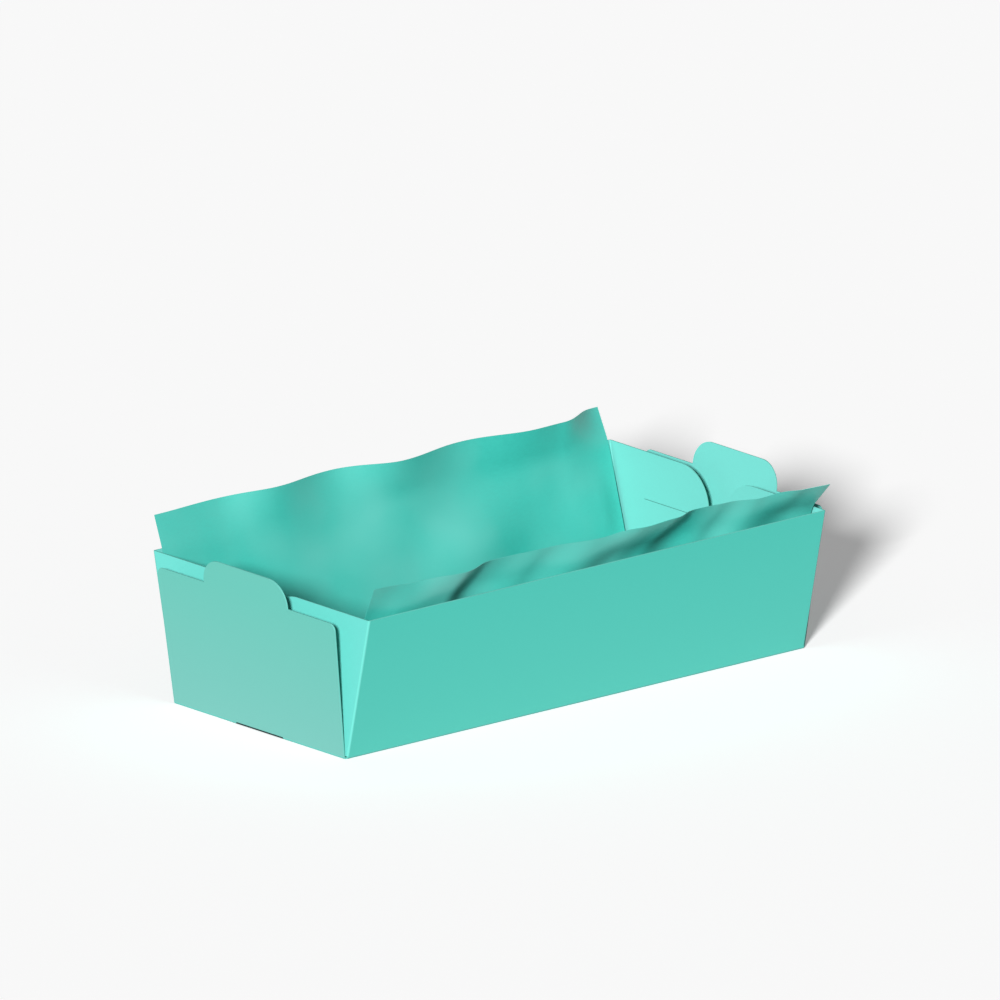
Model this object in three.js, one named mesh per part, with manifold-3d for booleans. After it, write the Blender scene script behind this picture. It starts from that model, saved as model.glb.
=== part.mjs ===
// A food tray folded from one sheet of paperboard, with a loose sheet of paper laid in it.
// Millimetres, +Z up. The origin is the middle of the tray's underside, and +X runs along the tray.
// A board panel is built about its middle plane, so two panels meet on their fold line.

import * as THREE from 'three';
import { mergeVertices } from 'three/addons/utils/BufferGeometryUtils.js';
import Module from 'manifold-3d';

// The board and its base panel
const board = 0.5;
const baseLength = 200;
const baseWidth = 87;

// The two long walls, which lean outward
const wallHeight = 50;
const wallLean = 11;

// The four corner flaps, folded square off the ends of the long walls
const flapReach = 50;
const flapArc = 13.5;
const flapInset = 0.8;
const flapClearance = 0.5;

// The knife slit across each corner flap
const slitHeight = 33.6;
const slitStart = 17.2;
const slitLength = 24;
const slitCut = 0.25;

// The two end panels, each with a rounded tab on its top edge
const panelLean = THREE.MathUtils.degToRad(8);
const panelShoulder = 48;
const panelRelief = 0.3;
const panelFlare = 1.6;
const shoulderRadius = 2.5;
const tabWidth = 43;
const tabHeight = 9;
const tabRadius = 8.4;

// The slot through the fold at the foot of each end panel
const slotWidth = 24.2;
const slotDepth = 0.9;
const slotRise = 0.2;

// The sheet of paper, which lies on the base and stands up along both long walls
const paper = 0.3;
const paperGap = 0.3;
const paperEndGap = 0.65;
const paperStand = 12.7;
const paperFootInset = 13.2;
const paperBend = 12;
const rimBend = 3;

// How far the paper stands off each wall at the rim, at the ends -X and +X
const farStandOff = [3.1, 0.45];
const nearStandOff = [2.2, 4];
const standOffShare = 0.35;

// The waves of the paper's top edge: place along the paper, and how far it leans past the rim
const waveHeight = 10;
const farCrests = [
  [-1, 0.16], [-0.73, 0.26], [-0.49, -0.51], [-0.22, 0.16], [0.05, -0.91], [0.34, -0.23], [0.64, -0.97], [1, 0.3],
];
const nearCrests = [
  [-1, 0.18], [-0.89, 0.18], [-0.67, 0.4], [-0.41, 0.06], [0.09, 0.35], [0.3, 0.29], [0.51, 0.07],
  [0.79, 0.35], [1, 0.38],
];

// The paper's soft bellies halfway up the walls: place along the paper, and how far it comes inward
const bellyDepth = 3;
const farBellies = [[-1, 0.2], [-0.6, 0], [-0.2, 0.25], [0.05, 0], [0.34, 0.9], [0.64, 0.1], [1, 0.8]];
const nearBellies = [[-1, 0.4], [-0.5, 0.1], [0, 0.6], [0.5, 0], [1, 0.5]];

// How finely curves and the paper are divided
const arcSteps = 10;
const foldSides = 12;
const paperRows = 44;
const bendSteps = 4;
const standSteps = 4;
const rimSteps = 2;
const topSteps = 3;

// Places worked out from the sizes above
const middle = board / 2;
const baseHalfLength = baseLength / 2;
const baseHalfWidth = baseWidth / 2;
const wallHalfLength = baseHalfLength - flapInset;
const rimHalfWidth = baseHalfWidth + wallLean;
const flapFoot = board + flapClearance;
const panelFootHalf = baseHalfWidth - panelRelief;
const panelTopHalf = panelFootHalf + panelFlare;
const panelTop = panelShoulder + tabHeight;

const wasm = await Module();
wasm.setup();

function toSolid(geometry) {
  const bare = geometry.clone();
  bare.deleteAttribute('normal');
  bare.deleteAttribute('uv');
  const merged = mergeVertices(bare, 1e-4);
  const mesh = new wasm.Mesh({
    numProp: 3,
    vertProperties: new Float32Array(merged.attributes.position.array),
    triVerts: new Uint32Array(merged.index.array),
  });
  return new wasm.Manifold(mesh);
}

function toGeometry(solid) {
  const mesh = solid.getMesh();
  const geometry = new THREE.BufferGeometry();
  geometry.setAttribute('position', new THREE.BufferAttribute(mesh.vertProperties, 3));
  geometry.setIndex(new THREE.BufferAttribute(mesh.triVerts, 1));
  geometry.computeVertexNormals();
  return geometry;
}

// A flat panel of board: its outline's x and y run along the two given directions from the corner point
function panel(outline, corner, along, up) {
  const geometry = new THREE.ExtrudeGeometry(outline, { depth: board, bevelEnabled: false, curveSegments: arcSteps });
  geometry.translate(0, 0, -middle);
  const out = new THREE.Vector3().crossVectors(along, up);
  const place = new THREE.Matrix4().makeBasis(along, up, out);
  place.setPosition(corner);
  geometry.applyMatrix4(place);
  return toSolid(geometry);
}

// The rounded outside of a fold between two points
function fold(from, to) {
  const line = new THREE.Vector3().subVectors(to, from);
  const geometry = new THREE.CylinderGeometry(middle, middle, line.length(), foldSides);
  const turn = new THREE.Quaternion().setFromUnitVectors(new THREE.Vector3(0, 1, 0), line.clone().normalize());
  geometry.applyQuaternion(turn);
  geometry.translate((from.x + to.x) / 2, (from.y + to.y) / 2, (from.z + to.z) / 2);
  return toSolid(geometry);
}

function block(size, centre) {
  const geometry = new THREE.BoxGeometry(size.x, size.y, size.z);
  geometry.translate(centre.x, centre.y, centre.z);
  return toSolid(geometry);
}

function rectangle(left, bottom, right, top) {
  const outline = new THREE.Shape();
  outline.moveTo(left, bottom);
  outline.lineTo(right, bottom);
  outline.lineTo(right, top);
  outline.lineTo(left, top);
  outline.closePath();
  return outline;
}

function basePanel() {
  const outline = rectangle(-baseHalfLength, -baseHalfWidth, baseHalfLength, baseHalfWidth);
  const corner = new THREE.Vector3(0, 0, middle);
  return panel(outline, corner, new THREE.Vector3(1, 0, 0), new THREE.Vector3(0, 1, 0));
}

// A long wall and the fold at its foot; side is +1 for the far wall and -1 for the near one
function longWall(side) {
  const foot = new THREE.Vector3(0, side * baseHalfWidth, middle);
  const slope = new THREE.Vector3(0, side * wallLean, wallHeight - middle);
  const outline = rectangle(-wallHalfLength, 0, wallHalfLength, slope.length());
  const wall = panel(outline, foot, new THREE.Vector3(1, 0, 0), slope.clone().normalize());
  const left = new THREE.Vector3(-wallHalfLength, foot.y, middle);
  const right = new THREE.Vector3(wallHalfLength, foot.y, middle);
  return wall.add(fold(left, right));
}

// How far the long wall's middle plane stands from the tray's centre line at a height
function wallAt(height) {
  return baseHalfWidth + (wallLean * (height - middle)) / (wallHeight - middle);
}

// A corner flap hangs off the end of a long wall; end is +1 or -1 along the tray
function cornerFlap(side, end) {
  const free = rimHalfWidth - flapReach;
  const outline = new THREE.Shape();
  outline.moveTo(wallAt(flapFoot), flapFoot);
  outline.lineTo(wallAt(wallHeight), wallHeight);
  outline.lineTo(free + flapArc, wallHeight);
  outline.absarc(free + flapArc, wallHeight - flapArc, flapArc, Math.PI / 2, Math.PI, false);
  outline.lineTo(free, flapFoot);
  outline.closePath();
  const plane = end * wallHalfLength;
  const across = new THREE.Vector3(0, side, 0);
  const flap = panel(outline, new THREE.Vector3(plane, 0, 0), across, new THREE.Vector3(0, 0, 1));
  const slitMiddle = side * (rimHalfWidth - slitStart - slitLength / 2);
  const slit = block(
    new THREE.Vector3(4 * board, slitLength, slitCut),
    new THREE.Vector3(plane, slitMiddle, slitHeight),
  );
  const bottom = new THREE.Vector3(plane, side * wallAt(flapFoot), flapFoot);
  const top = new THREE.Vector3(plane, side * wallAt(wallHeight), wallHeight);
  return flap.subtract(slit).add(fold(bottom, top));
}

function panelOutline() {
  const tabHalf = tabWidth / 2;
  const outline = new THREE.Shape();
  outline.moveTo(-panelFootHalf, 0);
  outline.lineTo(panelFootHalf, 0);
  outline.lineTo(panelTopHalf, panelShoulder - shoulderRadius);
  outline.absarc(
    panelTopHalf - shoulderRadius, panelShoulder - shoulderRadius, shoulderRadius, 0, Math.PI / 2, false,
  );
  outline.lineTo(tabHalf, panelShoulder);
  outline.lineTo(tabHalf, panelTop - tabRadius);
  outline.absarc(tabHalf - tabRadius, panelTop - tabRadius, tabRadius, 0, Math.PI / 2, false);
  outline.absarc(tabRadius - tabHalf, panelTop - tabRadius, tabRadius, Math.PI / 2, Math.PI, false);
  outline.lineTo(-tabHalf, panelShoulder);
  outline.absarc(
    shoulderRadius - panelTopHalf, panelShoulder - shoulderRadius, shoulderRadius, Math.PI / 2, Math.PI, false,
  );
  outline.closePath();
  return outline;
}

// An end panel stands outside the corner flaps and leans away from them
function endPanel(end) {
  const foot = new THREE.Vector3(end * baseHalfLength, 0, middle);
  const slope = new THREE.Vector3(end * Math.sin(panelLean), 0, Math.cos(panelLean));
  const plate = panel(panelOutline(), foot, new THREE.Vector3(0, 1, 0), slope);
  const left = new THREE.Vector3(foot.x, -panelFootHalf, middle);
  const right = new THREE.Vector3(foot.x, panelFootHalf, middle);
  return plate.add(fold(left, right));
}

function footSlot(end) {
  const height = board + slotRise;
  const size = new THREE.Vector3(slotDepth, slotWidth, 2 * height);
  return block(size, new THREE.Vector3(end * baseHalfLength, 0, 0));
}

function trayGeometry() {
  let tray = basePanel();
  for (const side of [-1, 1]) {
    tray = tray.add(longWall(side));
  }
  for (const end of [-1, 1]) {
    for (const side of [-1, 1]) {
      tray = tray.add(cornerFlap(side, end));
    }
    tray = tray.add(endPanel(end)).subtract(footSlot(end));
  }
  return toGeometry(tray);
}

// A soft wave through [place, height] pairs, level at each of them
function waveThrough(crests, place) {
  const next = Math.max(1, crests.findIndex(([at]) => at >= place));
  const [fromAt, fromHeight] = crests[next - 1];
  const [toAt, toHeight] = crests[next];
  const share = (place - fromAt) / (toAt - fromAt);
  return fromHeight + ((toHeight - fromHeight) * (1 - Math.cos(Math.PI * share))) / 2;
}

const paperHalfLength = wallHalfLength - middle - paperEndGap;
const paperBase = board + paperGap + paper / 2;
const paperFoot = baseHalfWidth - paperFootInset;
const wallInside = rimHalfWidth - middle / Math.cos(Math.atan2(wallLean, wallHeight));

// From the foot of the bend to the rim: the bend's angle, the straight length after it, and both together
function riseTo(rimPlace) {
  const across = rimPlace - paperFoot;
  const high = wallHeight - paperBase - paperBend;
  const straight = Math.sqrt(across * across + high * high - paperBend * paperBend);
  const angle = Math.atan2(high, across) + Math.atan2(paperBend, straight);
  return { angle, straight, length: paperBend * angle + straight };
}

// The cut sheet reaches paperStand past the rim where it lies its mean distance off the walls
const meanStandOff = (farStandOff[0] + farStandOff[1] + nearStandOff[0] + nearStandOff[1]) / 4;
const paperHalfWidth = paperFoot + riseTo(wallInside - meanStandOff).length + paperStand;

// The paper's middle surface on one side, as points across the sheet at one place along it
function paperSection(side, place) {
  const standOff = side > 0 ? farStandOff : nearStandOff;
  const crests = side > 0 ? farCrests : nearCrests;
  const bellies = side > 0 ? farBellies : nearBellies;
  const lean = waveHeight * waveThrough(crests, place);
  const belly = bellyDepth * waveThrough(bellies, place);
  const steady = THREE.MathUtils.mapLinear(place, -1, 1, standOff[0], standOff[1]);
  const nearest = paperGap + paper / 2;
  const mostLean = waveHeight * Math.max(...crests.map(([, height]) => height));
  const gap = Math.max(nearest, steady + standOffShare * (mostLean - lean));
  const rimPlace = wallInside - gap;
  const rise = riseTo(rimPlace);
  const past = paperHalfWidth - paperFoot - rise.length;
  const overhang = Math.max(-0.95, Math.min(0.95, (rimHalfWidth + lean - rimPlace) / past));
  const topAngle = Math.acos(overhang);

  const points = [[0, paperBase]];
  for (let step = 0; step <= bendSteps; step += 1) {
    const angle = (rise.angle * step) / bendSteps;
    points.push([paperFoot + paperBend * Math.sin(angle), paperBase + paperBend * (1 - Math.cos(angle))]);
  }
  const [wallFoot, wallLow] = points[points.length - 1];
  const bendPlace = rise.straight - rimBend;
  for (let step = 1; step <= standSteps; step += 1) {
    const share = step / standSteps;
    const run = bendPlace * share;
    const inward = belly * Math.sin(Math.PI * share) ** 2;
    points.push([wallFoot + run * Math.cos(rise.angle) - inward, wallLow + run * Math.sin(rise.angle)]);
  }
  let [across, high] = points[points.length - 1];
  const rimStep = (2 * rimBend) / rimSteps;
  for (let step = 1; step <= rimSteps; step += 1) {
    const angle = THREE.MathUtils.lerp(rise.angle, topAngle, (step - 0.5) / rimSteps);
    across += rimStep * Math.cos(angle);
    high += rimStep * Math.sin(angle);
    points.push([across, high]);
  }
  const topStep = (past - rimBend) / topSteps;
  for (let step = 1; step <= topSteps; step += 1) {
    across += topStep * Math.cos(topAngle);
    high += topStep * Math.sin(topAngle);
    points.push([across, high]);
  }
  return points.map(([y, z]) => [side * y, z]);
}

// One row of the paper across the tray, from the near top edge to the far one
function paperRow(place) {
  const near = paperSection(-1, place).reverse();
  const far = paperSection(1, place).slice(1);
  return [...near, ...far];
}

// The unit direction square to the row at a point, on the paper's upper face
function upward(row, index) {
  const before = row[Math.max(0, index - 1)];
  const after = row[Math.min(row.length - 1, index + 1)];
  const along = new THREE.Vector2(after[0] - before[0], after[1] - before[1]).normalize();
  return new THREE.Vector2(-along.y, along.x);
}

function paperGeometry() {
  const upper = [];
  const lower = [];
  for (let line = 0; line <= paperRows; line += 1) {
    const place = -1 + (2 * line) / paperRows;
    const row = paperRow(place);
    row.forEach(([y, z], index) => {
      const side = upward(row, index).multiplyScalar(paper / 2);
      upper.push(place * paperHalfLength, y + side.x, z + side.y);
      lower.push(place * paperHalfLength, y - side.x, z - side.y);
    });
  }
  const columns = upper.length / 3 / (paperRows + 1);
  const under = upper.length / 3;
  const at = (line, column) => line * columns + column;
  const faces = [];
  const quad = (a, b, c, d) => faces.push(a, b, c, a, c, d);
  for (let line = 0; line < paperRows; line += 1) {
    for (let column = 0; column < columns - 1; column += 1) {
      const a = at(line, column);
      const b = at(line + 1, column);
      const c = at(line + 1, column + 1);
      const d = at(line, column + 1);
      quad(a, b, c, d);
      quad(under + a, under + d, under + c, under + b);
    }
    const last = columns - 1;
    quad(at(line, 0), under + at(line, 0), under + at(line + 1, 0), at(line + 1, 0));
    quad(at(line + 1, last), under + at(line + 1, last), under + at(line, last), at(line, last));
  }
  for (let column = 0; column < columns - 1; column += 1) {
    quad(at(0, column), at(0, column + 1), under + at(0, column + 1), under + at(0, column));
    const a = at(paperRows, column);
    quad(a, under + a, under + a + 1, a + 1);
  }
  const geometry = new THREE.BufferGeometry();
  geometry.setAttribute('position', new THREE.Float32BufferAttribute([...upper, ...lower], 3));
  geometry.setIndex(faces);
  geometry.computeVertexNormals();
  return geometry;
}

const boardMaterial = new THREE.MeshStandardMaterial({ color: 0x54cbbb, roughness: 0.6, metalness: 0 });
const paperMaterial = new THREE.MeshStandardMaterial({ color: 0x4bc5b4, roughness: 0.7, metalness: 0 });

const tray = new THREE.Mesh(trayGeometry(), boardMaterial);
tray.name = 'tray';

const liner = new THREE.Mesh(paperGeometry(), paperMaterial);
liner.name = 'paper_liner';

const group = new THREE.Group();
group.add(tray, liner);

export default group;
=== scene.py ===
import math

import bmesh
import bpy
from mathutils import Matrix, Vector


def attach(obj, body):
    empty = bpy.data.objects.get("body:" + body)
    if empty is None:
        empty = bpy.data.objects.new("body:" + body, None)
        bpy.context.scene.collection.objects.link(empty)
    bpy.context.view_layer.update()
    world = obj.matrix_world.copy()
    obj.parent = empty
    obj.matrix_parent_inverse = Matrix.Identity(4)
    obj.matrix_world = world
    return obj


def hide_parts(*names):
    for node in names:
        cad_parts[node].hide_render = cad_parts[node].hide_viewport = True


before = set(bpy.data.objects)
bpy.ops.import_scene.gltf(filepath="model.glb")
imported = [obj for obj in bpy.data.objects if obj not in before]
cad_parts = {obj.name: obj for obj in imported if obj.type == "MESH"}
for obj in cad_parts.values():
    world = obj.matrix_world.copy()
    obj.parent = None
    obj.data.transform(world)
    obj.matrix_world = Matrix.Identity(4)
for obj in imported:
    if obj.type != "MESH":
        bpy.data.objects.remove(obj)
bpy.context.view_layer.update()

# Sizes are in millimetres, as the tray's own drawing has them, and MM takes them to metres
MM = 0.001

# The board and its base panel
BOARD = 0.5
BASE_LENGTH = 200.0
BASE_WIDTH = 87.0
FOLD_SETBACK = 0.5
FOLD_STEPS = 5

# The long walls and the corner flaps on their ends
WALL_HEIGHT = 50.0
WALL_LEAN = 11.0
FLAP_REACH = 50.0
FLAP_ARC = 13.5
FLAP_INSET = 0.8
FLAP_FOOT = 1.0
SLIT_HEIGHT = 33.6
SLIT_START = 17.2
SLIT_LENGTH = 24.0
SLIT_CUT = 0.22
SLIT_TAPER = 4 * SLIT_CUT

# The end panels and their tabs
NEAR_PANEL_LEAN = math.radians(7.1)
FAR_PANEL_LEAN = math.radians(8.0)
PANEL_SHOULDER = 48.0
PANEL_FOOT_HALF = 43.0
PANEL_TOP_HALF = 44.8
SHOULDER_RADIUS = 2.5
TAB_WIDTH = 42.2
TAB_HEIGHT = 9.0
TAB_RADIUS = 8.4
SLOT_WIDTH = 24.2
SLOT_DEPTH = 1.1
SLOT_RISE = 0.8
ARC_STEPS = 16

# The cut edges are a little rounded
EDGE_ROUND = 0.07
EDGE_ANGLE = math.radians(60)
EDGE_SEGMENTS = 2
WELD = 0.001

# The sheet of paper. Its solid is thicker than it is and lies higher.
PAPER = 0.12
PAPER_LIFT = 0.05
PAPER_SOLID = 0.3
PAPER_SOLID_GAP = 0.3
PAPER_END_GAP = 0.65
PAPER_END_TRIM = 0.6
PAPER_STAND = 12.7
MEAN_STAND_OFF = 2.44
PAPER_FOOT_INSET = 13.2
PAPER_BEND = 12.0
RIM_BEND = 3.0
NEAR_SKEW = 0.1
# The free edge of each long side: place along the sheet, lean out past the rim, gap inside it, extra length
FAR_EDGE = (
    (-1, 1.0, 3.3, -0.3), (-0.73, 1.6, 2.7, 0.1), (-0.49, -3.1, 4.0, -0.2), (-0.22, 1.0, 2.2, 0.3),
    (0.05, -5.5, 4.1, -0.9), (0.34, -1.4, 2.3, -0.3), (0.64, -5.8, 3.5, -1.0), (0.77, -4.8, 3, -1.2),
    (1, 4.8, 0.5, -0.4),
)
NEAR_EDGE = (
    (-1, 1.8, 3.1, -0.9), (-0.82, 0.6, 1.5, -2.7), (-0.61, 3.5, 2.5, -1.5), (-0.42, -2.4, 8.4, -3.4),
    (-0.2, -1, 5.5, -3.1), (0.02, 0.8, 2.5, -3.2), (0.2, 3, 5, -0.1), (0.32, 2.8, 5.8, 1.5),
    (0.48, -2, 8.8, -2.2), (0.6, -1.3, 7.2, -2.5), (0.74, 0.2, 4, -3.3), (0.9, 2.6, 6.4, 0),
    (1, 3.8, 5, 0.6),
)
# How far each long side bulges inward below its rim: place along the sheet, share of the depth
BELLY_DEPTH = 4.0
FAR_BELLIES = ((-1, 0.2), (-0.6, 0), (-0.2, 0.25), (0.05, 0), (0.34, 0.9), (0.64, 0), (0.9, 0.4), (1, 0))
NEAR_BELLIES = ((-1, 0.4), (-0.5, 0.1), (0, 0.6), (0.5, 0), (1, 0.5))
PAPER_SMOOTH_ANGLE = math.radians(50)
PAPER_ROWS = 176
BASE_STEPS = 4
BEND_STEPS = 12
STAND_STEPS = 18
RIM_STEPS = 6
TOP_STEPS = 10
SECTION_POINTS = BASE_STEPS + BEND_STEPS + 1 + STAND_STEPS + RIM_STEPS + TOP_STEPS

# Colours of the board and the paper
PRINTED_BOARD = (0.063, 0.474, 0.398)
# Painted reflection: the paler foot colour the printed board fades to low down, standing in for the floor's
# reflection
PRINTED_FOOT_PAINTED_REFLECTION = (0.08, 0.487, 0.409)
# The end panels' print is darker, to offset the stronger sun they get, and greyer for sheen: painted shade
# and painted sheen
END_PRINT_PAINTED_SHADE_SHEEN = (0.105, 0.422, 0.358)
# Painted reflection: the end panels' paler foot colour, standing in for the floor's reflection
END_FOOT_PAINTED_REFLECTION = (0.142, 0.416, 0.369)
PLAIN_BOARD = (0.13, 0.49, 0.443)
FLAP_BOARD = (0.116, 0.53, 0.473)
CREASED_BOARD = (0.11, 0.5, 0.435)
CUT_BOARD = (0.13, 0.47, 0.41)
# The slot's strip is near black: painted shade standing in for the shadowed gap through the slot
SLOT_PAINTED_SHADE = (0.012, 0.03, 0.03)
FOOD_PAPER = (0.026, 0.38, 0.318)
# The pale paper colour is painted sheen: paler patches that stand in for the paper's glossy highlights
PAPER_PAINTED_SHEEN = (0.068, 0.405, 0.35)

# How many grains and clouds a surface has in a metre. The paper's grain is stretched along the tray.
BOARD_GRAIN = 2600.0
BOARD_CLOUDS = 55.0
EDGE_GRAIN = 4200.0
PAPER_GRAIN = 1500.0
PAPER_GRAIN_STRETCH = 0.35
PAPER_CLOUDS = 30.0

# Gloss and roughness
PAPER_IOR = 1.6
BOARD_SPECULAR = 0.35
EDGE_SPECULAR = 0.2
PAPER_SPECULAR = 0.7
SMOOTH_ROUGHNESS = 0.55
PRINT_ROUGHNESS = 0.6
CREASE_ROUGHNESS = 0.65
EDGE_ROUGHNESS = 0.85
ROUGHNESS_SPREAD = 0.04

# The camera looks with parallel lines from a metre back. The view's centre is in pixels from the origin.
AZIMUTH = math.radians(-40.66)
ELEVATION = math.radians(16.43)
PIXELS = 1000
PIXELS_PER_MM = 3.03
CENTRE_RIGHT = 10.5
CENTRE_UP = 175.6
CAMERA_BACK = 1.0

# The light: one sun from the front left and an even sky
SUN_ALONG = (0.762, 0.648)
SUN_ELEVATION = math.radians(19.2)
SUN_ANGLE = math.radians(7.5)
SUN_STRENGTH = 5.8
SKY_STRENGTH = 0.12
WORLD_WHITE = 0.95

# The floor, with its size in metres
FLOOR_SIZE = 8.0
FLOOR_WHITE = 0.99
FLOOR_GLOW = 0.22
FLOOR_BOUNCE = 0.25

# Places worked out from the sizes above
MIDDLE = BOARD / 2
BASE_HALF_LENGTH = BASE_LENGTH / 2
BASE_HALF_WIDTH = BASE_WIDTH / 2
WALL_HALF_LENGTH = BASE_HALF_LENGTH - FLAP_INSET
RIM_HALF_WIDTH = BASE_HALF_WIDTH + WALL_LEAN
WALL_SLOPE = math.atan2(WALL_LEAN, WALL_HEIGHT - MIDDLE)
PANEL_TOP = PANEL_SHOULDER + TAB_HEIGHT


# Materials

def new_material(name):
    material = bpy.data.materials.new(name)
    material.use_nodes = True
    nodes = material.node_tree.nodes
    return material, nodes, material.node_tree.links, nodes["Principled BSDF"]


def object_place(nodes):
    return nodes.new("ShaderNodeTexCoord").outputs["Object"]


def noise_texture(nodes, links, place, scale, detail):
    texture = nodes.new("ShaderNodeTexNoise")
    texture.inputs["Scale"].default_value = scale
    texture.inputs["Detail"].default_value = detail
    links.new(place, texture.inputs["Vector"])
    return texture.outputs["Fac"]


def ramp_between(nodes, links, value, low, high, from_min=0.3, from_max=0.7):
    spread = nodes.new("ShaderNodeMapRange")
    spread.inputs["From Min"].default_value = from_min
    spread.inputs["From Max"].default_value = from_max
    spread.inputs["To Min"].default_value = low
    spread.inputs["To Max"].default_value = high
    links.new(value, spread.inputs["Value"])
    return spread.outputs["Result"]


def mix_colours(nodes, links, share, first, second):
    mix = nodes.new("ShaderNodeMix")
    mix.data_type = "RGBA"
    links.new(share, mix.inputs["Factor"])
    for socket, colour in (("A", first), ("B", second)):
        target = [s for s in mix.inputs if s.name == socket and s.type == "RGBA"][0]
        if isinstance(colour, tuple):
            target.default_value = (*colour, 1.0)
        else:
            links.new(colour, target)
    return [s for s in mix.outputs if s.type == "RGBA"][0]


def shade(colour, share):
    return tuple(channel * share for channel in colour)


# A colour that the grain makes a little darker and lighter
def grained(nodes, links, grain, colour, dark, light):
    share = ramp_between(nodes, links, grain, 0.0, 1.0)
    return mix_colours(nodes, links, share, shade(colour, dark), shade(colour, light))


def add_bump(nodes, links, shader, height, strength, distance):
    bump = nodes.new("ShaderNodeBump")
    bump.inputs["Strength"].default_value = strength
    bump.inputs["Distance"].default_value = distance
    links.new(height, bump.inputs["Height"])
    links.new(bump.outputs["Normal"], shader.inputs["Normal"])


# Coated board: a fine grain and soft clouds. With a foot colour it fades to that paler colour lower down, a
# painted reflection of the floor.
def board_material(name, colour, roughness, foot=None):
    material, nodes, links, shader = new_material(name)
    place = object_place(nodes)
    grain = noise_texture(nodes, links, place, BOARD_GRAIN, detail=3.0)
    clouds = noise_texture(nodes, links, place, BOARD_CLOUDS, detail=2.0)
    tone = grained(nodes, links, grain, colour, dark=0.975, light=1.02)
    cloudy = ramp_between(nodes, links, clouds, low=0.0, high=0.25)
    soft = mix_colours(nodes, links, cloudy, tone, shade(colour, 0.985))
    # Painted reflection: towards the foot the colour fades to the paler foot colour, as the floor's
    # reflection would
    if foot:
        split = nodes.new("ShaderNodeSeparateXYZ")
        links.new(place, split.inputs["Vector"])
        height = ramp_between(nodes, links, split.outputs["Z"], 1.0, 0.0, 0.0, WALL_HEIGHT * MM)
        soft = mix_colours(nodes, links, height, soft, foot)
    links.new(soft, shader.inputs["Base Color"])
    rough = ramp_between(nodes, links, grain, roughness - ROUGHNESS_SPREAD, roughness + ROUGHNESS_SPREAD)
    links.new(rough, shader.inputs["Roughness"])
    shader.inputs["Specular IOR Level"].default_value = BOARD_SPECULAR
    add_bump(nodes, links, shader, grain, strength=0.12, distance=0.02 * MM)
    return material


# The cut edges and the slot are rougher than the faces, with a finer and stronger grain
def edge_material(name, colour):
    material, nodes, links, shader = new_material(name)
    grain = noise_texture(nodes, links, object_place(nodes), EDGE_GRAIN, detail=2.0)
    links.new(grained(nodes, links, grain, colour, dark=0.9, light=1.05), shader.inputs["Base Color"])
    shader.inputs["Roughness"].default_value = EDGE_ROUGHNESS
    shader.inputs["Specular IOR Level"].default_value = EDGE_SPECULAR
    add_bump(nodes, links, shader, grain, strength=0.3, distance=0.03 * MM)
    return material


# Food paper: long soft fibres, a slight gloss and faint paler patches, painted sheen that stands in for
# glossy highlights
def paper_material(name, colour, painted_sheen):
    material, nodes, links, shader = new_material(name)
    place = object_place(nodes)
    stretch = nodes.new("ShaderNodeMapping")
    stretch.inputs["Scale"].default_value = (PAPER_GRAIN_STRETCH, 1.0, 1.0)
    links.new(place, stretch.inputs["Vector"])
    grain = noise_texture(nodes, links, stretch.outputs["Vector"], PAPER_GRAIN, detail=4.0)
    clouds = noise_texture(nodes, links, place, PAPER_CLOUDS, detail=2.0)
    tone = grained(nodes, links, grain, colour, dark=0.965, light=1.03)
    # Painted sheen: the clouds mix in the paler colour in soft patches
    cloudy = ramp_between(nodes, links, clouds, 0.0, 1.0, from_min=0.35, from_max=0.7)
    links.new(mix_colours(nodes, links, cloudy, tone, painted_sheen), shader.inputs["Base Color"])
    links.new(ramp_between(nodes, links, grain, low=0.46, high=0.52), shader.inputs["Roughness"])
    shader.inputs["IOR"].default_value = PAPER_IOR
    shader.inputs["Specular IOR Level"].default_value = PAPER_SPECULAR
    add_bump(nodes, links, shader, grain, strength=0.1, distance=0.02 * MM)
    return material


# The folded board, as a middle surface of flat panels joined by rounded folds

class Sheet:
    def __init__(self):
        self.faces = []

    def face(self, points, kind):
        self.faces.append(([Vector(p) * MM for p in points], kind))

    # A rounded fold between two panel edges; corner is the sharp line between them
    def fold(self, first, corner, second, kind):
        rows = []
        for step in range(FOLD_STEPS + 1):
            t = step / FOLD_STEPS
            rows.append([
                Vector(a) * (1 - t) ** 2 + Vector(c) * (2 * t * (1 - t)) + Vector(b) * t ** 2
                for a, c, b in zip(first, corner, second)
            ])
        for low, high in zip(rows, rows[1:]):
            for index in range(len(low) - 1):
                self.face((low[index], low[index + 1], high[index + 1], high[index]), kind)


# Each kind of face has three materials in a row: its outside, its inside and its cut edge
PANEL_KINDS = ("base", "wall", "end", "flap", "crease", "slot")
KIND_MATERIALS = 3


def arc(centre_across, centre_up, radius, start, stop):
    points = []
    for step in range(ARC_STEPS + 1):
        angle = math.radians(start + (stop - start) * step / ARC_STEPS)
        points.append((centre_across + radius * math.cos(angle), centre_up + radius * math.sin(angle)))
    return points


# The long wall's middle surface at a distance up its slope from the fold
def wall_point(side, x, rise):
    y = BASE_HALF_WIDTH + rise * math.sin(WALL_SLOPE)
    return (x, side * y, MIDDLE + rise * math.cos(WALL_SLOPE))


def rise_at(height):
    return (height - MIDDLE) / math.cos(WALL_SLOPE)


def add_base(sheet):
    x = BASE_HALF_LENGTH - FOLD_SETBACK
    y = BASE_HALF_WIDTH - FOLD_SETBACK
    wall_end = WALL_HALF_LENGTH
    slot = SLOT_WIDTH / 2
    right = [(x, -y), (x, -slot), (x, slot), (x, y), (wall_end, y)]
    left = [(-a, -b) for a, b in right]
    sheet.face([(a, b, MIDDLE) for a, b in (*right, *left)], "base")


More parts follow.
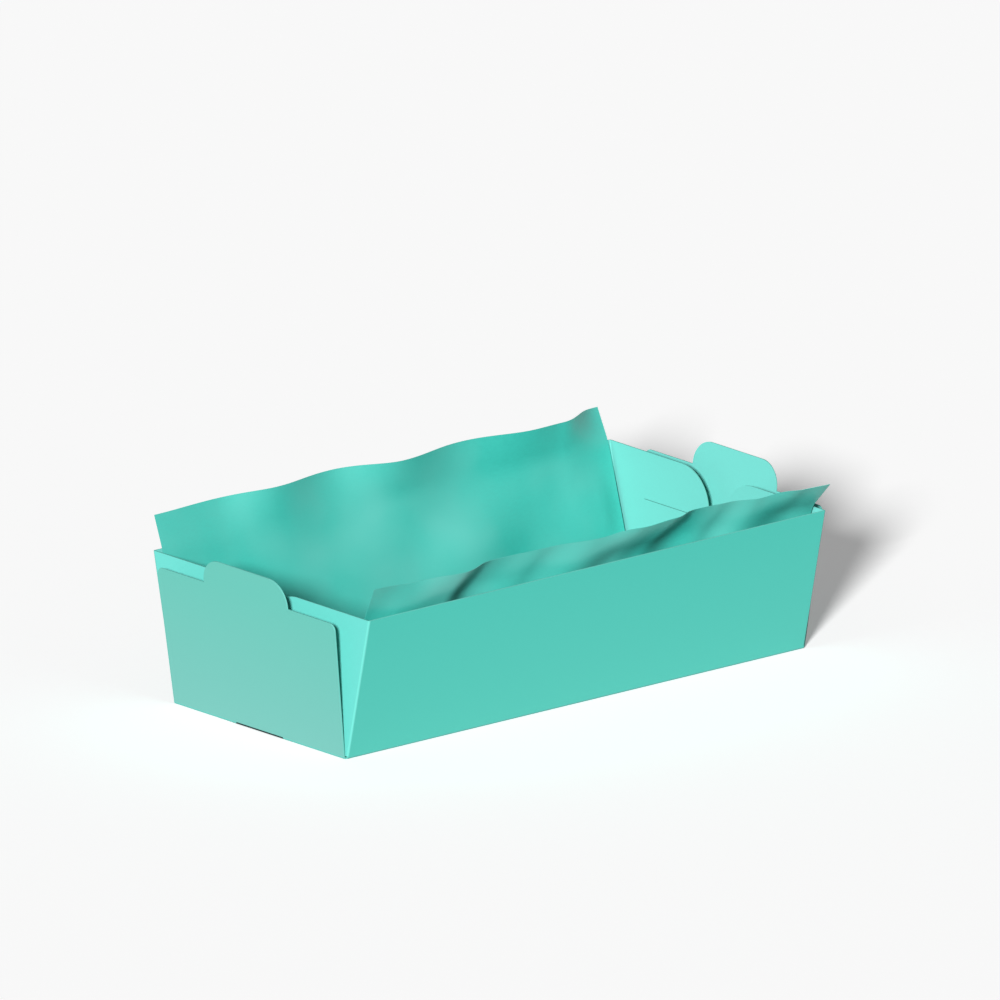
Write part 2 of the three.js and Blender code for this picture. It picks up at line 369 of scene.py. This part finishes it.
def add_wall(sheet, side):
    foot = FOLD_SETBACK
    top = rise_at(WALL_HEIGHT)
    flap_foot = rise_at(FLAP_FOOT)
    slit = rise_at(SLIT_HEIGHT)
    end = WALL_HALF_LENGTH
    fold = WALL_HALF_LENGTH - FOLD_SETBACK
    right = [(end, foot), (end, flap_foot), (fold, flap_foot), (fold, slit), (fold, top)]
    left = [(-x, rise) for x, rise in reversed(right)]
    sheet.face([wall_point(side, x, rise) for x, rise in (*right, *left)], "wall")
    base_y = side * (BASE_HALF_WIDTH - FOLD_SETBACK)
    first = [(x, base_y, MIDDLE) for x in (-end, end)]
    corner = [(x, side * BASE_HALF_WIDTH, MIDDLE) for x in (-end, end)]
    second = [wall_point(side, x, foot) for x in (-end, end)]
    sheet.fold(first, corner, second, "crease")


def add_flap(sheet, side, end):
    plane = end * WALL_HALF_LENGTH
    free = RIM_HALF_WIDTH - FLAP_REACH
    heights = (FLAP_FOOT, SLIT_HEIGHT, WALL_HEIGHT)
    wall_edge = [wall_point(side, plane - end * FOLD_SETBACK, rise_at(h)) for h in heights]
    corner = [wall_point(side, plane, rise_at(h)) for h in heights]
    flap_edge = [(plane, y - side * FOLD_SETBACK, z) for _, y, z in corner]
    sheet.fold(wall_edge, corner, flap_edge, "crease")

    slit_from = RIM_HALF_WIDTH - SLIT_START
    slit_to = slit_from - SLIT_LENGTH
    near_tip = slit_from - SLIT_TAPER
    far_tip = slit_to + SLIT_TAPER
    cut = SLIT_CUT / 2
    round_top = arc(free + FLAP_ARC, WALL_HEIGHT - FLAP_ARC, FLAP_ARC, 90, 180)

    def across(points):
        return [(plane, side * y, z) for y, z in points]

    low = SLIT_HEIGHT - cut
    under = [(slit_from, SLIT_HEIGHT), (near_tip, low), (far_tip, low), (slit_to, SLIT_HEIGHT)]
    over = [(y, 2 * SLIT_HEIGHT - z) for y, z in reversed(under)]
    free_edge = [(free, SLIT_HEIGHT)]
    sheet.face([flap_edge[0], flap_edge[1], *across(under + free_edge + [(free, FLAP_FOOT)])], "flap")
    sheet.face([flap_edge[1], flap_edge[2], *across(round_top + free_edge + over)], "flap")


def end_outline():
    top = PANEL_SHOULDER - SHOULDER_RADIUS
    tab_half = TAB_WIDTH / 2
    slot = SLOT_WIDTH / 2
    right = [(slot, SLOT_RISE), (slot, FOLD_SETBACK), (PANEL_FOOT_HALF, FOLD_SETBACK)]
    right += arc(PANEL_TOP_HALF - SHOULDER_RADIUS, top, SHOULDER_RADIUS, 0, 90)
    right += [(tab_half, PANEL_SHOULDER)]
    right += arc(tab_half - TAB_RADIUS, PANEL_TOP - TAB_RADIUS, TAB_RADIUS, 0, 90)
    left = [(-y, rise) for y, rise in reversed(right)]
    return right + left


def add_end_panel(sheet, end):
    lean = FAR_PANEL_LEAN if end > 0 else NEAR_PANEL_LEAN

    def place(y, rise):
        return (end * (BASE_HALF_LENGTH + rise * math.sin(lean)), y, MIDDLE + rise * math.cos(lean))

    sheet.face([place(y, rise) for y, rise in end_outline()], "end")
    base_x = end * (BASE_HALF_LENGTH - FOLD_SETBACK)
    base_corner = BASE_HALF_WIDTH - FOLD_SETBACK
    for side in (-1, 1):
        ends = (side * SLOT_WIDTH / 2, side * PANEL_FOOT_HALF)
        first = [(base_x, y, MIDDLE) for y in (ends[0], side * base_corner)]
        corner = [(end * BASE_HALF_LENGTH, y, MIDDLE) for y in ends]
        second = [place(y, FOLD_SETBACK) for y in ends]
        sheet.fold(first, corner, second, "crease")
    slot = (-SLOT_WIDTH / 2, SLOT_WIDTH / 2)
    first = [(base_x, y, MIDDLE) for y in slot]
    corner = [(end * (BASE_HALF_LENGTH - SLOT_DEPTH), y, MIDDLE + SLOT_DEPTH) for y in slot]
    second = [place(y, SLOT_RISE) for y in slot]
    sheet.fold(first, corner, second, "slot")


def mesh_from_faces(name, faces):
    mesh = bpy.data.meshes.new(name)
    work = bmesh.new()
    for points, kind in faces:
        face = work.faces.new([work.verts.new(p) for p in points])
        face.material_index = KIND_MATERIALS * PANEL_KINDS.index(kind)
        face.smooth = True
    bmesh.ops.remove_doubles(work, verts=work.verts, dist=WELD * MM)
    bmesh.ops.recalc_face_normals(work, faces=work.faces)
    base = max(work.faces, key=lambda face: face.calc_area() * abs(face.normal.z))
    if base.normal.z > 0:
        bmesh.ops.reverse_faces(work, faces=work.faces)
    work.to_mesh(mesh)
    work.free()
    piece = bpy.data.objects.new(name, mesh)
    bpy.context.scene.collection.objects.link(piece)
    return piece


def keep_modifiers(piece):
    bpy.context.view_layer.update()
    evaluated = piece.evaluated_get(bpy.context.evaluated_depsgraph_get())
    mesh = bpy.data.meshes.new_from_object(evaluated)
    piece.modifiers.clear()
    piece.data = mesh


def give_thickness(piece, thickness, next_material):
    solid = piece.modifiers.new("thickness", "SOLIDIFY")
    solid.thickness = thickness * MM
    solid.offset = 0
    solid.use_even_offset = True
    solid.use_quality_normals = True
    solid.material_offset = next_material
    solid.material_offset_rim = 2 * next_material


def round_edges(piece, radius):
    bevel = piece.modifiers.new("edges", "BEVEL")
    bevel.width = radius * MM
    bevel.segments = EDGE_SEGMENTS
    bevel.limit_method = "ANGLE"
    bevel.angle_limit = EDGE_ANGLE
    bevel.use_clamp_overlap = True
    bevel.miter_outer = "MITER_ARC"
    weighted = piece.modifiers.new("normals", "WEIGHTED_NORMAL")
    weighted.keep_sharp = True


# Three materials for each kind of face, in the order of PANEL_KINDS
def tray_materials():
    plain = board_material("plain_board", PLAIN_BOARD, SMOOTH_ROUGHNESS)
    cut = edge_material("cut_edge", CUT_BOARD)
    # The slot material's near-black colour is painted shade for the dark gap
    slot = edge_material("slot", SLOT_PAINTED_SHADE)
    printed = board_material("printed_board", PRINTED_BOARD, PRINT_ROUGHNESS, PRINTED_FOOT_PAINTED_REFLECTION)
    outer = {
        "base": printed,
        "wall": printed,
        # End panels: a darker, greyer copy of the print, painted shade and painted sheen
        "end": board_material("end_print_painted_shade_sheen", END_PRINT_PAINTED_SHADE_SHEEN, PRINT_ROUGHNESS, END_FOOT_PAINTED_REFLECTION),
        "flap": board_material("flap_board", FLAP_BOARD, SMOOTH_ROUGHNESS),
        "crease": board_material("crease", CREASED_BOARD, CREASE_ROUGHNESS),
        "slot": slot,
    }
    materials = []
    for kind in PANEL_KINDS:
        inner = slot if kind == "slot" else plain
        materials += [outer[kind], inner, cut]
    return materials


def build_tray():
    sheet = Sheet()
    add_base(sheet)
    for side in (-1, 1):
        add_wall(sheet, side)
        for end in (-1, 1):
            add_flap(sheet, side, end)
    for end in (-1, 1):
        add_end_panel(sheet, end)
    tray = mesh_from_faces("folded_tray", sheet.faces)
    for material in tray_materials():
        tray.data.materials.append(material)
    give_thickness(tray, BOARD, 1)
    round_edges(tray, EDGE_ROUND)
    keep_modifiers(tray)
    return tray


# The sheet of paper, from the same rules as its solid

def wave_through(crests, place):
    index = next((i for i, (at, _) in enumerate(crests) if at >= place), len(crests) - 1)
    index = max(1, index)
    (from_at, from_height), (to_at, to_height) = crests[index - 1], crests[index]
    share = (place - from_at) / (to_at - from_at)
    return from_height + (to_height - from_height) * (1 - math.cos(math.pi * share)) / 2


PAPER_HALF_LENGTH = WALL_HALF_LENGTH - MIDDLE - PAPER_END_GAP
PAPER_SOLID_BASE = BOARD + PAPER_SOLID_GAP + PAPER_SOLID / 2
PAPER_BASE = BOARD + PAPER_LIFT + PAPER / 2
PAPER_FOOT = BASE_HALF_WIDTH - PAPER_FOOT_INSET
WALL_INSIDE = RIM_HALF_WIDTH - MIDDLE / math.cos(math.atan2(WALL_LEAN, WALL_HEIGHT))


def rise_to(rim_place):
    across = rim_place - PAPER_FOOT
    high = WALL_HEIGHT - PAPER_SOLID_BASE - PAPER_BEND
    straight = math.sqrt(across ** 2 + high ** 2 - PAPER_BEND ** 2)
    angle = math.atan2(high, across) + math.atan2(PAPER_BEND, straight)
    return angle, straight, PAPER_BEND * angle + straight


PAPER_HALF_WIDTH = PAPER_FOOT + rise_to(WALL_INSIDE - MEAN_STAND_OFF)[2] + PAPER_STAND


# The lean, gap, extra length and inward bulge of a long side, at one place along the sheet
def side_at(side, place):
    edge, bellies = (FAR_EDGE, FAR_BELLIES) if side > 0 else (NEAR_EDGE, NEAR_BELLIES)
    columns = [[(row[0], row[column]) for row in edge] for column in (1, 2, 3)]
    lean, gap, extra = (wave_through(column, place) for column in columns)
    return lean, gap, extra, BELLY_DEPTH * wave_through(bellies, place)


# Flat on the base from the middle line outward, then the bend up towards the wall
def base_and_bend(angle):
    points = [(PAPER_FOOT * step / BASE_STEPS, PAPER_SOLID_BASE) for step in range(BASE_STEPS)]
    for step in range(BEND_STEPS + 1):
        turn = angle * step / BEND_STEPS
        y = PAPER_FOOT + PAPER_BEND * math.sin(turn)
        z = PAPER_SOLID_BASE + PAPER_BEND * (1 - math.cos(turn))
        points.append((y, z))
    return points


# The run up the wall, with a bulge inward at half its height
def add_stand(points, angle, length, belly):
    foot_y, foot_z = points[-1]
    for step in range(1, STAND_STEPS + 1):
        share = step / STAND_STEPS
        run = length * share
        inward = belly * math.sin(math.pi * share) ** 2
        points.append((foot_y + run * math.cos(angle) - inward, foot_z + run * math.sin(angle)))


# The bend at the rim, then the free edge straight on
def add_top(points, angle, top_angle, length):
    y, z = points[-1]
    strides = []
    for step in range(RIM_STEPS):
        turn = angle + (top_angle - angle) * (step + 0.5) / RIM_STEPS
        strides.append((turn, 2 * RIM_BEND / RIM_STEPS))
    strides += [(top_angle, length / TOP_STEPS)] * TOP_STEPS
    for turn, stride in strides:
        y += stride * math.cos(turn)
        z += stride * math.sin(turn)
        points.append((y, z))


def paper_section(side, place):
    lean, gap, extra, belly = side_at(side, place)
    rim_place = WALL_INSIDE - gap
    angle, straight, length = rise_to(rim_place)
    past = PAPER_HALF_WIDTH - PAPER_FOOT - length
    top_angle = math.acos((RIM_HALF_WIDTH + lean - rim_place) / past)
    points = base_and_bend(angle)
    add_stand(points, angle, straight - RIM_BEND, belly)
    add_top(points, angle, top_angle, past - RIM_BEND + extra)
    return [(side * y, z) for y, z in points]


# The visible sheet is thinner than its solid, so near the base it lies a little lower
def settle(z):
    drop = PAPER_SOLID_BASE - PAPER_BASE
    return z - drop * max(0.0, 1 - (z - PAPER_SOLID_BASE) / PAPER_BEND)


# The near side's folds run at a slant: low down they lie nearer the near end
def near_section(place):
    points = []
    for index in range(SECTION_POINTS):
        below = min(1.0, (SECTION_POINTS - 1 - index) / (TOP_STEPS + RIM_STEPS))
        slanted = place + NEAR_SKEW * below * (1 - place ** 2)
        points.append(paper_section(-1, slanted)[index])
    return points


def build_liner():
    rows = []
    for line in range(PAPER_ROWS + 1):
        place = -1 + 2 * line / PAPER_ROWS
        near = near_section(place)[::-1]
        far = paper_section(1, place)[1:]
        x = place * PAPER_HALF_LENGTH - PAPER_END_TRIM * max(0.0, place)
        rows.append([Vector((x, y, settle(z))) * MM for y, z in (*near, *far)])
    columns = len(rows[0])
    vertices = [point for row in rows for point in row]
    faces = []
    for line in range(PAPER_ROWS):
        for column in range(columns - 1):
            start = line * columns + column
            faces.append((start, start + columns, start + columns + 1, start + 1))
    mesh = bpy.data.meshes.new("wrapping_paper")
    mesh.from_pydata(vertices, [], faces)
    mesh.polygons.foreach_set("use_smooth", [True] * len(faces))
    liner = bpy.data.objects.new("wrapping_paper", mesh)
    bpy.context.scene.collection.objects.link(liner)
    liner.data.materials.append(paper_material("food_paper", FOOD_PAPER, PAPER_PAINTED_SHEEN))
    give_thickness(liner, PAPER, 0)
    keep_modifiers(liner)
    liner.data.set_sharp_from_angle(angle=PAPER_SMOOTH_ANGLE)
    return liner


# Floor, light and camera

# One for rays that see a surface, straight or in a gloss, and nothing for rays that gather light
def looked_at(nodes, links):
    path = nodes.new("ShaderNodeLightPath")
    add = nodes.new("ShaderNodeMath")
    add.operation = "ADD"
    add.use_clamp = True
    links.new(path.outputs["Is Camera Ray"], add.inputs[0])
    links.new(path.outputs["Is Glossy Ray"], add.inputs[1])
    return add.outputs["Value"]


def build_floor():
    bpy.ops.mesh.primitive_plane_add(size=FLOOR_SIZE)
    floor = bpy.context.object
    floor.name = "floor"
    material, nodes, links, shader = new_material("floor_white")
    shader.inputs["Base Color"].default_value = (FLOOR_WHITE, FLOOR_WHITE, FLOOR_WHITE, 1)
    shader.inputs["Roughness"].default_value = 1.0
    shader.inputs["Specular IOR Level"].default_value = 0.0
    shader.inputs["Emission Color"].default_value = (1, 1, 1, 1)
    shader.inputs["Emission Strength"].default_value = FLOOR_GLOW
    bounce = nodes.new("ShaderNodeBsdfDiffuse")
    bounce.inputs["Color"].default_value = (FLOOR_BOUNCE, FLOOR_BOUNCE, FLOOR_BOUNCE, 1)
    mix = nodes.new("ShaderNodeMixShader")
    links.new(looked_at(nodes, links), mix.inputs["Fac"])
    links.new(bounce.outputs["BSDF"], mix.inputs[1])
    links.new(shader.outputs["BSDF"], mix.inputs[2])
    links.new(mix.outputs["Shader"], nodes["Material Output"].inputs["Surface"])
    floor.data.materials.append(material)


def build_light():
    data = bpy.data.lights.new("sun", "SUN")
    data.energy = SUN_STRENGTH
    data.angle = SUN_ANGLE
    sun = bpy.data.objects.new("sun", data)
    along = Vector((*SUN_ALONG, 0)).normalized() * math.cos(SUN_ELEVATION)
    travel = Vector((along.x, along.y, -math.sin(SUN_ELEVATION)))
    sun.rotation_mode = "QUATERNION"
    sun.rotation_quaternion = travel.to_track_quat("-Z", "Y")
    bpy.context.scene.collection.objects.link(sun)


# The sky lights evenly, and a ray from the camera that misses the floor sees white
def build_world():
    world = bpy.data.worlds.new("sky")
    bpy.context.scene.world = world
    world.use_nodes = True
    nodes = world.node_tree.nodes
    links = world.node_tree.links
    background = nodes["Background"]
    background.inputs["Color"].default_value = (1, 1, 1, 1)
    strength = ramp_between(nodes, links, looked_at(nodes, links), SKY_STRENGTH, WORLD_WHITE, 0.0, 1.0)
    links.new(strength, background.inputs["Strength"])


def build_camera():
    data = bpy.data.cameras.new("camera")
    data.type = "ORTHO"
    data.ortho_scale = PIXELS / PIXELS_PER_MM * MM
    camera = bpy.data.objects.new("camera", data)
    level = Vector((math.sin(AZIMUTH), -math.cos(AZIMUTH), 0)) * math.cos(ELEVATION)
    back = level + Vector((0, 0, math.sin(ELEVATION)))
    right = Vector((math.cos(AZIMUTH), math.sin(AZIMUTH), 0))
    up = back.cross(right)
    centre = (right * CENTRE_RIGHT + up * CENTRE_UP) / PIXELS_PER_MM * MM
    camera.location = centre + back * CAMERA_BACK
    camera.rotation_mode = "QUATERNION"
    camera.rotation_quaternion = Matrix((right, up, back)).transposed().to_quaternion()
    bpy.context.scene.collection.objects.link(camera)
    bpy.context.scene.camera = camera


build_camera()
build_floor()
build_light()
build_world()
bpy.context.scene.view_settings.view_transform = "Standard"

tray = build_tray()
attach(tray, "root")
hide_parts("tray")

liner = build_liner()
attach(liner, "root")
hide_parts("paper_liner")
